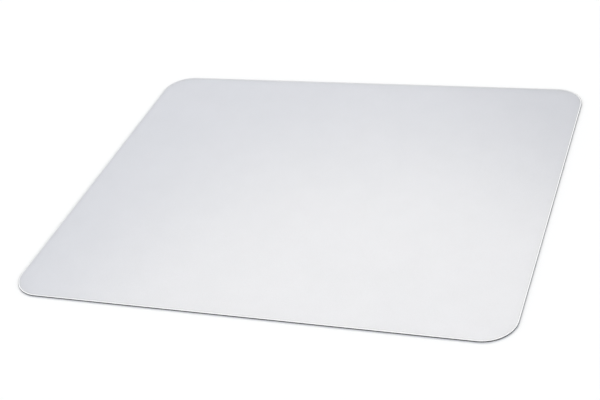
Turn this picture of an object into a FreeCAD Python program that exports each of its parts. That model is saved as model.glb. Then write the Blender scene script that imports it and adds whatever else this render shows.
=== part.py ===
"""Chair mat for hard floors: a flat, stiff, translucent sheet that an office chair rolls on.

The mat is three layers bonded into one stack, listed here from the floor up:
  anti_slip_backing  soft film that grips the floor, and stops short of the sheet's edge
  core_sheet         stiff sheet that spreads the load of the castors
  wear_layer         hard, finely textured skin that the castors run on
The core and the wear layer are cut to shape together: the four corners are rounded, then a
shallow bevel is cut round the top, so that castors roll on and off the mat.

Frame: millimetres, +Z up, +X along the long side. The origin is on the floor, under the centre.
"""

import FreeCAD, Part
import os

# Driving dimensions
MAT_WIDTH = 1200.0
MAT_DEPTH = 1000.0
CORNER_RADIUS = 75.0
BACKING_THICKNESS = 0.4
CORE_THICKNESS = 2.7
WEAR_THICKNESS = 0.4
BEVEL_RUN = 3.0  # how far the bevel reaches in from the edge
BEVEL_DROP = 0.5  # how far the bevel cuts down from the top face
BACKING_SET_BACK = 3.0  # how far the backing stops short of the edge

# Heights above the floor that follow from them
CORE_BOTTOM = BACKING_THICKNESS
CORE_TOP = CORE_BOTTOM + CORE_THICKNESS
MAT_TOP = CORE_TOP + WEAR_THICKNESS


def block(bottom, top, inset=0.0):
    """Square-cornered block between two heights, its sides moved in from the mat's by inset."""
    corner = FreeCAD.Vector(inset - MAT_WIDTH / 2, inset - MAT_DEPTH / 2, bottom)
    return Part.makeBox(MAT_WIDTH - 2 * inset, MAT_DEPTH - 2 * inset, top - bottom, corner)


def rounded_plate(bottom, top, inset=0.0):
    """The same block with its four corners rounded, parallel to the mat's own corners."""
    square = block(bottom, top, inset)
    upright = [edge for edge in square.Edges if edge.BoundBox.ZLength > (top - bottom) / 2]
    return square.makeFillet(CORNER_RADIUS - inset, upright)


def cut_sheet():
    """Core and wear layer in one, cut to the outline and bevelled round the top."""
    plate = rounded_plate(CORE_BOTTOM, MAT_TOP)
    rim = [edge for edge in plate.Edges if edge.BoundBox.ZMin > CORE_TOP]
    return plate.makeChamfer(BEVEL_DROP, BEVEL_RUN, rim)


def layer_of(sheet, bottom, top):
    """The one solid of the sheet that lies between two heights."""
    (layer,) = sheet.common(block(bottom, top)).Solids
    return layer


def anti_slip_backing():
    (backing,) = rounded_plate(0.0, CORE_BOTTOM, BACKING_SET_BACK).Solids
    return backing


def core_sheet():
    return layer_of(cut_sheet(), CORE_BOTTOM, CORE_TOP)


def wear_layer():
    return layer_of(cut_sheet(), CORE_TOP, MAT_TOP)


LAYERS = {
    "anti_slip_backing": anti_slip_backing,
    "core_sheet": core_sheet,
    "wear_layer": wear_layer,
}

os.makedirs("parts", exist_ok=True)
for name, make_layer in LAYERS.items():
    shape = make_layer()
    shape.exportStep(os.path.join("parts", name + ".step"))
    size = shape.BoundBox
    print(f"{name}: {size.XLength:.2f} x {size.YLength:.2f} x {size.ZLength:.2f} mm")
    print(f"  from z {size.ZMin:.2f} mm, {shape.Volume:.0f} mm3, valid {shape.isValid()}")
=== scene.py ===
import math

import bpy
from mathutils import Matrix, Vector


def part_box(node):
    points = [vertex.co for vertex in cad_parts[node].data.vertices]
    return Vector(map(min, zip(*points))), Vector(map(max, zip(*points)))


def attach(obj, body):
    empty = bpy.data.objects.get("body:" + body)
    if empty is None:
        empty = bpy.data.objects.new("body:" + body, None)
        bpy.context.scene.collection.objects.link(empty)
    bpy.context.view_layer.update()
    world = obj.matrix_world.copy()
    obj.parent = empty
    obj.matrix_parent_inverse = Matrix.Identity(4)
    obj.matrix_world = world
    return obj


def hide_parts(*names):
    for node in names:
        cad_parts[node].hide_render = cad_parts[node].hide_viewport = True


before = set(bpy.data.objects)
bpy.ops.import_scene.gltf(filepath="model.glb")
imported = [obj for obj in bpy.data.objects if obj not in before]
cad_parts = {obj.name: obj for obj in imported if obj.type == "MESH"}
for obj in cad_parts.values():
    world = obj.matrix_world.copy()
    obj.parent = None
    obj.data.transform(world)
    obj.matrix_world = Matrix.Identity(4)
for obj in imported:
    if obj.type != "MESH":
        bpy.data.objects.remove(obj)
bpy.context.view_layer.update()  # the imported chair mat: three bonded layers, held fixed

# Lengths are in metres, in the mat's own frame: +X along the long side, +Z up, the floor at zero.
MM = 0.001

# Shape that the frame's boxes don't give
CORNER_RADIUS = 75 * MM
BEVEL_RUN = 3.0 * MM  # from the edge in to the flat top
BEVEL_DROP = 0.5 * MM  # from the top down to the upright cut edge
EDGE_ROUNDING = 0.15 * MM  # worn-off sharpness of the cut corners
SEAM_ROUNDING = 0.03 * MM  # the same where two layers meet
SEAM_GAP = 0.01 * MM  # drawn in from each bonded face, so that no two faces coincide
FLAT_MARGIN = 0.3 * MM  # flat strip that keeps the shading of a rounding off the wide faces

# Mesh fineness
CORNER_STEPS = 32
SIDE_STEP = 25 * MM
ROUNDING_STEPS = 4
FACE_RINGS = (50 * MM, 25 * MM)  # insets of the rings on a wide face, outside its grid

# Shading
NOISE_MIDDLE = (0.3, 0.7)  # range that most of a noise's values lie in
CLEAR_FACES = 32  # how many clear faces light may cross in a row; a low view crosses many
FIRST_COLOUR, SECOND_COLOUR, MIXED_COLOUR = 6, 7, 2  # sockets of a Mix node that mixes colours

# Camera: angles in degrees, the azimuth from -Y towards +X; lens and sensor in millimetres
VIEW_AZIMUTH = 25.04
VIEW_ELEVATION = 34.31
VIEW_ROLL = -10.93
VIEW_DISTANCE = 3.0743
VIEW_TARGET = Vector((-0.0116, -0.0572, 0.0))
LENS = 75.0
SENSOR = 36.0

# Studio: places are (azimuth, elevation) and reaches are (radius, soft rim), all in degrees, the
# azimuth from +Y towards -X
DOME_COLOUR = (0.80, 0.825, 0.875)
SOFTBOX_PLACE = (23.1, 50.8)
SOFTBOX_RADIUS = 17.8
SOFTBOX_COLOUR = (1.0, 0.93, 0.77)
SOFTBOX_RADIANCE = 3.75
DARK_PLACE = (-2.8, 23.1)
DARK_REACH = (15.9, 3.0)
UNDER_FLOOR_PLACE = (0.0, -90.0)
UNDER_FLOOR_REACH = (89.5, 0.5)
BACKDROP_COLOUR = (0.98, 0.98, 0.98)
BLACK = (0.0, 0.0, 0.0)

FLOOR_SIZE = 60.0
FLOOR_DROP = 0.7 * MM  # a loose sheet isn't quite flat, so it stands a little clear


# ---------------------------------------------------------------- shape of the layers

UNDERSIDE, EDGE, TOP = range(3)


def rounded_path(corners):
    """Points of a path of (inset, height, rounding), with each corner rounded by a curve."""
    points = []
    for index, (inset, height, rounding) in enumerate(corners):
        here = Vector((inset, height))
        if not rounding:
            points.append(here)
            continue
        before = Vector(corners[index - 1][:2]) - here
        after = Vector(corners[index + 1][:2]) - here
        start = here + before.normalized() * rounding
        end = here + after.normalized() * rounding
        for step in range(ROUNDING_STEPS + 1):
            t = step / ROUNDING_STEPS
            points.append(start * (1 - t) ** 2 + here * 2 * t * (1 - t) + end * t**2)
    return points


def evenly(low, high):
    """Whole number of nearly SIDE_STEP steps from low to high."""
    count = round((high - low) / SIDE_STEP)
    return [low + (high - low) * index / count for index in range(count + 1)]


class Outline:
    """Stations round the mat's outline. Each has an anchor on the inner rectangle, which joins the
    centres of the corner arcs, and a direction outwards from it."""

    def __init__(self, half_width, half_depth):
        self.xs = evenly(CORNER_RADIUS - half_width, half_width - CORNER_RADIUS)
        self.ys = evenly(CORNER_RADIUS - half_depth, half_depth - CORNER_RADIUS)
        last_x = len(self.xs) - 1
        last_y = len(self.ys) - 1
        sides = [
            ([(column, 0) for column in range(last_x + 1)], -90),
            ([(last_x, row) for row in range(last_y + 1)], 0),
            ([(column, last_y) for column in range(last_x, -1, -1)], 90),
            ([(0, row) for row in range(last_y, -1, -1)], 180),
        ]
        self.stations = []
        for anchors, facing in sides:
            self.stations += [(anchor, facing) for anchor in anchors]
            for step in range(1, CORNER_STEPS):
                self.stations.append((anchors[-1], facing + 90 * step / CORNER_STEPS))

    def ring(self, inset, height):
        """The outline moved in by inset, at that height."""
        reach = CORNER_RADIUS - inset
        points = []
        for (column, row), facing in self.stations:
            angle = math.radians(facing)
            x = self.xs[column] + reach * math.cos(angle)
            y = self.ys[row] + reach * math.sin(angle)
            points.append((x, y, height))
        return points


def layer(name, outline, profile, materials):
    """Closed shell of one layer. Profile runs from its underside round the edge to its top, as
    (inset, height). Materials are the underside's, the edge's and the top's."""
    vertices = []
    faces = []
    slots = []
    count = len(outline.stations)
    edge_from = len(FACE_RINGS) + 1
    edge_to = len(profile) - 1 - edge_from
    for inset, height in profile:
        vertices += outline.ring(inset, height)
    for level in range(len(profile) - 1):
        part = UNDERSIDE if level < edge_from else EDGE if level < edge_to else TOP
        for index in range(count):
            following = (index + 1) % count
            low, high = level * count, (level + 1) * count
            faces.append((low + index, low + following, high + following, high + index))
            slots.append(part)

    def cap(ring_start, height, part):
        """Grid over the inner rectangle, joined to the ring by a band."""
        first = len(vertices)
        columns, rows = len(outline.xs), len(outline.ys)
        vertices.extend((x, y, height) for y in outline.ys for x in outline.xs)

        def grid(column, row):
            return first + row * columns + column

        patches = []
        for row in range(rows - 1):
            for column in range(columns - 1):
                patches.append(
                    (
                        grid(column, row),
                        grid(column + 1, row),
                        grid(column + 1, row + 1),
                        grid(column, row + 1),
                    )
                )
        for index in range(count):
            following = (index + 1) % count
            here = grid(*outline.stations[index][0])
            there = grid(*outline.stations[following][0])
            band = (ring_start + index, ring_start + following, there, here)
            patches.append(tuple(dict.fromkeys(band)))  # a triangle where here is there
        for patch in patches:
            faces.append(patch if part == TOP else patch[::-1])
            slots.append(part)

    cap(0, profile[0][1], UNDERSIDE)
    cap((len(profile) - 1) * count, profile[-1][1], TOP)
    mesh = bpy.data.meshes.new(name)
    mesh.from_pydata(vertices, [], faces)
    mesh.polygons.foreach_set("material_index", slots)
    mesh.shade_smooth()
    mesh.validate()
    for material in materials:
        mesh.materials.append(material)
    piece = bpy.data.objects.new(name, mesh)
    bpy.context.scene.collection.objects.link(piece)
    return piece


def edge_profile(corners):
    """Rounded edge of a layer, with rings on the wide faces that keep them flat."""
    edge = rounded_path(corners)
    profile = [(inset, edge[0].y) for inset in FACE_RINGS]
    profile += [(point.x, point.y) for point in edge]
    profile += [(inset, edge[-1].y) for inset in reversed(FACE_RINGS)]
    return profile


# ---------------------------------------------------------------- materials


class Nodes:
    """The node tree of a new material or world, with short ways to add and join nodes."""

    def __init__(self, owner):
        self.owner = owner
        owner.use_nodes = True
        self.tree = owner.node_tree
        self.tree.nodes.clear()

    def add(self, kind, **settings):
        node = self.tree.nodes.new("ShaderNode" + kind)
        for key, value in settings.items():
            setattr(node, key, value)
        return node

    def join(self, source, target):
        self.tree.links.new(source, target)

    def finish(self, surface, output="OutputMaterial"):
        """Show surface, and give the finished material or world."""
        self.join(surface, self.add(output).inputs["Surface"])
        return self.owner

    def place(self):
        return self.add("TexCoord").outputs["Object"]

    def noise(self, scale, detail=2.0, stretch=(1, 1, 1)):
        """Noise with scale features to the metre."""
        mapping = self.add("Mapping")
        mapping.inputs["Scale"].default_value = stretch
        self.join(self.place(), mapping.inputs["Vector"])
        noise = self.add("TexNoise")
        noise.inputs["Scale"].default_value = scale
        noise.inputs["Detail"].default_value = detail
        self.join(mapping.outputs["Vector"], noise.inputs["Vector"])
        return noise.outputs["Fac"]

    def cells(self, scale):
        """Distance from the middles of irregular cells, with scale cells to the metre."""
        cells = self.add("TexVoronoi")
        cells.inputs["Scale"].default_value = scale
        self.join(self.place(), cells.inputs["Vector"])
        return cells.outputs["Distance"]

    def height(self):
        """Height above the floor."""
        axes = self.add("SeparateXYZ")
        self.join(self.place(), axes.inputs[0])
        return axes.outputs["Z"]

    def between(self, factor, low, high, span=NOISE_MIDDLE):
        """Number that runs from low to high as factor runs over span."""
        spread = self.add("MapRange")
        spread.inputs["From Min"].default_value = span[0]
        spread.inputs["From Max"].default_value = span[1]
        spread.inputs["To Min"].default_value = low
        spread.inputs["To Max"].default_value = high
        self.join(factor, spread.inputs["Value"])
        return spread.outputs["Result"]

    def shade(self, colour, amount):
        """Colour made lighter or darker by a number near one."""
        scaled = self.add("VectorMath", operation="SCALE")
        self.join(colour, scaled.inputs["Vector"])
        self.join(amount, scaled.inputs["Scale"])
        return scaled.outputs["Vector"]

    def blend(self, factor, low, high):
        """Colour that runs from low to high as factor runs over the middle of a noise."""
        ramp = self.add("ValToRGB")
        for stop, position, colour in zip(ramp.color_ramp.elements, NOISE_MIDDLE, (low, high)):
            stop.position = position
            stop.color = (*colour, 1)
        self.join(factor, ramp.inputs["Fac"])
        return ramp.outputs["Color"]

    def bump(self, height, depth, strength):
        bump = self.add("Bump")
        bump.inputs["Distance"].default_value = depth
        bump.inputs["Strength"].default_value = strength
        self.join(height, bump.inputs["Height"])
        return bump.outputs["Normal"]

    def mix(self, factor, first, second):
        mixer = self.add("MixShader")
        if isinstance(factor, float):
            mixer.inputs["Fac"].default_value = factor
        else:
            self.join(factor, mixer.inputs["Fac"])
        self.join(first, mixer.inputs[1])
        self.join(second, mixer.inputs[2])
        return mixer.outputs[0]

    def outer_fresnel(self, ior):
        """Share of light that the plastic mirrors. The inside of a face mirrors none, because the
        layers are bonded and light doesn't bend between them."""
        fresnel = self.add("Fresnel")
        fresnel.inputs["IOR"].default_value = ior
        outside = self.add("Math", operation="SUBTRACT")
        outside.inputs[0].default_value = 1.0
        self.join(self.add("NewGeometry").outputs["Backfacing"], outside.inputs[1])
        share = self.add("Math", operation="MULTIPLY")
        self.join(fresnel.outputs[0], share.inputs[0])
        self.join(outside.outputs[0], share.inputs[1])
        return share.outputs[0]

    def translucent_plastic(self, colour, roughness, normal, opacity, passed=0.3, ior=1.6):
        """Plastic that scatters a share of the light, opacity, and lets the rest straight through.
        Of what it scatters, a share, passed, goes on through and the remainder comes back. The
        gloss on top stays full."""
        clear = self.add("BsdfTransparent")
        back = self.add("BsdfDiffuse")
        onward = self.add("BsdfTranslucent")
        for scatter in (back, onward):
            self.join(colour, scatter.inputs["Color"])
            self.join(normal, scatter.inputs["Normal"])
        gloss = self.add("BsdfAnisotropic")
        self.join(roughness, gloss.inputs["Roughness"])
        self.join(normal, gloss.inputs["Normal"])
        milk = self.mix(passed, back.outputs[0], onward.outputs[0])
        body = self.mix(opacity, clear.outputs[0], milk)
        return self.finish(self.mix(self.outer_fresnel(ior), body, gloss.outputs[0]))


def new_material(name):
    return Nodes(bpy.data.materials.new(name))


def frosted_skin():
    """Satin top with a fine pebbled grain, whose pebbles are a little clearer than the rest."""
    nodes = new_material("frosted_skin")
    grain = nodes.cells(1400)
    cloud = nodes.blend(nodes.noise(14, detail=4), (0.759, 0.768, 0.817), (0.775, 0.784, 0.833))
    colour = nodes.shade(cloud, nodes.between(grain, 0.95, 1.02))
    roughness = nodes.between(nodes.noise(60, detail=4), 0.18, 0.21)
    normal = nodes.bump(grain, depth=0.04 * MM, strength=0.25)
    return nodes.translucent_plastic(colour, roughness, normal, opacity=0.7)


def cut_edge_painted_shade(cut_top):
    """Edge where the sheet was cut, with fine lines along it from the cutter that take most of its
    gloss. Its dark grey is partly the plastic's density, seen through its whole width, and partly
    painted shade standing for the shade on the edge and the contact shadow along the foot of the
    mat. Painted shade also makes it darker towards the floor."""
    nodes = new_material("cut_edge_painted_shade")
    # painted shade: the edge's grey is set low to stand for the shade on it and the contact shadow
    # beside it
    plain = nodes.blend(nodes.noise(30, detail=3), (0.105, 0.107, 0.11), (0.13, 0.132, 0.135))
    lines = nodes.noise(1, detail=3, stretch=(60, 60, 14000))
    # painted shade: darker towards the floor, lighter towards the bevel
    shade_painted_to_floor = nodes.shade(plain, nodes.between(nodes.height(), 0.7, 1.3, span=(0, cut_top)))
    colour = nodes.shade(shade_painted_to_floor, nodes.between(lines, 0.75, 1.25))
    roughness = nodes.between(lines, 0.3, 0.45)
    normal = nodes.bump(lines, depth=0.02 * MM, strength=0.5)
    return nodes.translucent_plastic(colour, roughness, normal, opacity=0.95, ior=1.2)


def bevel_painted_highlight():
    """The bevel, planed after the cut. Its near-white colour is a painted highlight: the bright
    line along the mat's edge.
    """
    nodes = new_material("bevel_painted_highlight")
    # painted highlight: near white, opaque and scattering almost all light back, so that the bevel
    # reads as a bright line
    colour = nodes.blend(nodes.noise(30, detail=3), (0.92, 0.925, 0.93), (0.95, 0.955, 0.96))
    lines = nodes.noise(1, detail=3, stretch=(90, 90, 9000))
    roughness = nodes.between(lines, 0.35, 0.5)
    normal = nodes.bump(lines, depth=0.02 * MM, strength=0.3)
    return nodes.translucent_plastic(colour, roughness, normal, opacity=1.0, passed=0.05)


def soft_backing():
    """Clear soft film with a fine matt grip texture."""
    nodes = new_material("soft_backing")
    colour = nodes.blend(nodes.noise(12, detail=3), (0.66, 0.67, 0.68), (0.70, 0.71, 0.72))
    roughness = nodes.between(nodes.noise(50), 0.5, 0.62)
    normal = nodes.bump(nodes.cells(700), depth=0.08 * MM, strength=0.5)
    return nodes.translucent_plastic(colour, roughness, normal, opacity=0.06, ior=1.48)


def bonded_face():
    """Face joined to the next layer. The bond is clear: it mirrors and scatters nothing, and only
    takes up a very little of the light, unevenly."""
    nodes = new_material("bonded_face")
    tint = nodes.blend(nodes.noise(5), (0.994, 0.996, 0.997), (0.998, 0.999, 1.0))
    clear = nodes.add("BsdfTransparent")
    nodes.join(tint, clear.inputs["Color"])
    return nodes.finish(clear.outputs[0])


def studio_white():
    """Matt floor of the studio, very slightly uneven."""
    nodes = new_material("studio_white")
    colour = nodes.blend(nodes.noise(0.7), (0.96, 0.96, 0.96), (0.97, 0.97, 0.97))
    body = nodes.add("BsdfDiffuse")
    nodes.join(colour, body.inputs["Color"])
    return nodes.finish(body.outputs[0])


# ---------------------------------------------------------------- the three pieces


def add_piece(node, outline, corners, materials):
    """One layer of the mat, drawn in place of its CAD node."""
    piece = layer(node + "_detailed", outline, edge_profile(corners), materials)
    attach(piece, "root")
    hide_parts(node)


def add_backing(outline, sheet_reach, bonded):
    """Film under the sheet, which stops short of the sheet's edge."""
    low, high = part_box("anti_slip_backing")
    set_back = sheet_reach - high.x
    top = high.z - SEAM_GAP
    corners = [
        (set_back + FLAT_MARGIN, low.z, 0),
        (set_back, low.z, SEAM_ROUNDING),
        (set_back, top, SEAM_ROUNDING),
        (set_back + FLAT_MARGIN, top, 0),
    ]
    soft = soft_backing()
    add_piece("anti_slip_backing", outline, corners, (soft, soft, bonded))


def add_core(outline, bevel_start, seam_inset, bonded):
    """Stiff sheet. Its cut edge is upright, then leans in as the foot of the bevel."""
    low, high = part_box("core_sheet")
    bottom = low.z + SEAM_GAP
    top = high.z - SEAM_GAP
    corners = [
        (EDGE_ROUNDING + FLAT_MARGIN, bottom, 0),
        (0, bottom, EDGE_ROUNDING),
        (0, bevel_start, EDGE_ROUNDING),
        (seam_inset, top, SEAM_ROUNDING),
        (seam_inset + FLAT_MARGIN, top, 0),
    ]
    materials = (bonded, cut_edge_painted_shade(bevel_start), bonded)
    add_piece("core_sheet", outline, corners, materials)


def add_wear_layer(outline, seam_inset, bonded):
    """Hard skin on top, whose edge is the rest of the bevel."""
    low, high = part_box("wear_layer")
    bottom = low.z + SEAM_GAP
    corners = [
        (seam_inset + FLAT_MARGIN, bottom, 0),
        (seam_inset, bottom, SEAM_ROUNDING),
        (BEVEL_RUN, high.z, EDGE_ROUNDING),
        (BEVEL_RUN + EDGE_ROUNDING + FLAT_MARGIN, high.z, 0),
    ]
    materials = (bonded, bevel_painted_highlight(), frosted_skin())
    add_piece("wear_layer", outline, corners, materials)


def make_layers():
    core_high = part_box("core_sheet")[1]
    wear_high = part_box("wear_layer")[1]
    outline = Outline(core_high.x, core_high.y)
    bevel_start = wear_high.z - BEVEL_DROP
    seam_inset = BEVEL_RUN * (core_high.z - bevel_start) / BEVEL_DROP
    bonded = bonded_face()
    add_backing(outline, core_high.x, bonded)
    add_core(outline, bevel_start, seam_inset, bonded)
    add_wear_layer(outline, seam_inset, bonded)


# ---------------------------------------------------------------- studio


def add_floor():
    half = FLOOR_SIZE / 2
    corners = [(-half, -half), (half, -half), (half, half), (-half, half)]
    mesh = bpy.data.meshes.new("studio_floor")
    mesh.from_pydata([(x, y, -FLOOR_DROP) for x, y in corners], [], [(0, 1, 2, 3)])
    mesh.materials.append(studio_white())
    floor = bpy.data.objects.new("studio_floor", mesh)
    bpy.context.scene.collection.objects.link(floor)


def sky_direction(azimuth, elevation):
    """Direction of a place in the dome."""
    azimuth, elevation = math.radians(azimuth), math.radians(elevation)
    level = math.cos(elevation)
    return (-math.sin(azimuth) * level, math.cos(azimuth) * level, math.sin(elevation))


def add_dome():
    """Cool even studio round the mat, the same everywhere on the floor, with one dark corner low
    behind the mat's right side. It is also dark below the floor, where its light would be wasted.
    The camera sees it as a plain pale backdrop."""
    world = bpy.data.worlds.new("studio_dome")
    bpy.context.scene.world = world
    nodes = Nodes(world)
    outwards = nodes.add("TexCoord").outputs["Generated"]

    def spot(place, reach):
        """1 inside a round patch of the dome, 0 outside it."""
        radius, rim = reach
        facing = nodes.add("VectorMath", operation="DOT_PRODUCT")
        facing.inputs[1].default_value = sky_direction(*place)
        nodes.join(outwards, facing.inputs[0])
        patch = nodes.add("MapRange", interpolation_type="SMOOTHSTEP")
        patch.inputs["From Min"].default_value = math.cos(math.radians(radius + rim))
        patch.inputs["From Max"].default_value = math.cos(math.radians(radius))
        nodes.join(facing.outputs["Value"], patch.inputs["Value"])
        return patch.outputs["Result"]

    def tint(under, factor, colour):
        """Colour that replaces under where factor is 1."""
        mix = nodes.add("Mix", data_type="RGBA")
        mix.inputs[SECOND_COLOUR].default_value = (*colour, 1)
        nodes.join(factor, mix.inputs["Factor"])
        nodes.join(under, mix.inputs[FIRST_COLOUR])
        return mix.outputs[MIXED_COLOUR]

    plain = nodes.add("RGB")
    plain.outputs[0].default_value = (*DOME_COLOUR, 1)
    colour = tint(plain.outputs[0], spot(UNDER_FLOOR_PLACE, UNDER_FLOOR_REACH), BLACK)
    colour = tint(colour, spot(DARK_PLACE, DARK_REACH), BLACK)
    colour = tint(colour, nodes.add("LightPath").outputs["Is Camera Ray"], BACKDROP_COLOUR)
    background = nodes.add("Background")
    nodes.join(colour, background.inputs["Color"])
    nodes.finish(background.outputs[0], output="OutputWorld")


def add_softbox():
    """Warm round softbox high behind the mat's left side, so far away that it lights the whole
    floor alike."""
    light = bpy.data.lights.new("softbox", "SUN")
    radius = math.radians(SOFTBOX_RADIUS)
    light.angle = 2 * radius
    light.color = SOFTBOX_COLOUR
    light.energy = SOFTBOX_RADIANCE * math.pi * math.sin(radius) ** 2  # what a face towards it gets
    softbox = bpy.data.objects.new("softbox", light)
    facing = Vector(sky_direction(*SOFTBOX_PLACE))
    softbox.rotation_euler = facing.to_track_quat("Z", "Y").to_euler()
    bpy.context.scene.collection.objects.link(softbox)


def add_camera():
    data = bpy.data.cameras.new("camera")
    data.lens = LENS
    data.sensor_width = SENSOR
    camera = bpy.data.objects.new("camera", data)
    azimuth, elevation, roll = (
        math.radians(angle) for angle in (VIEW_AZIMUTH, VIEW_ELEVATION, VIEW_ROLL)
    )
    back = Vector(
        (
            math.cos(elevation) * math.sin(azimuth),
            -math.cos(elevation) * math.cos(azimuth),
            math.sin(elevation),
        )
    )
    level = (-back).cross(Vector((0, 0, 1))).normalized()
    upright = back.cross(level)
    right = level * math.cos(roll) + upright * math.sin(roll)
    up = upright * math.cos(roll) - level * math.sin(roll)
    turn = Matrix((right, up, back)).transposed()
    camera.matrix_world = Matrix.Translation(VIEW_TARGET + back * VIEW_DISTANCE) @ turn.to_4x4()
    bpy.context.scene.collection.objects.link(camera)
    bpy.context.scene.camera = camera


make_layers()
add_floor()
add_dome()
add_softbox()
add_camera()
bpy.context.scene.view_settings.view_transform = "Standard"
bpy.context.scene.cycles.transparent_max_bounces = CLEAR_FACES
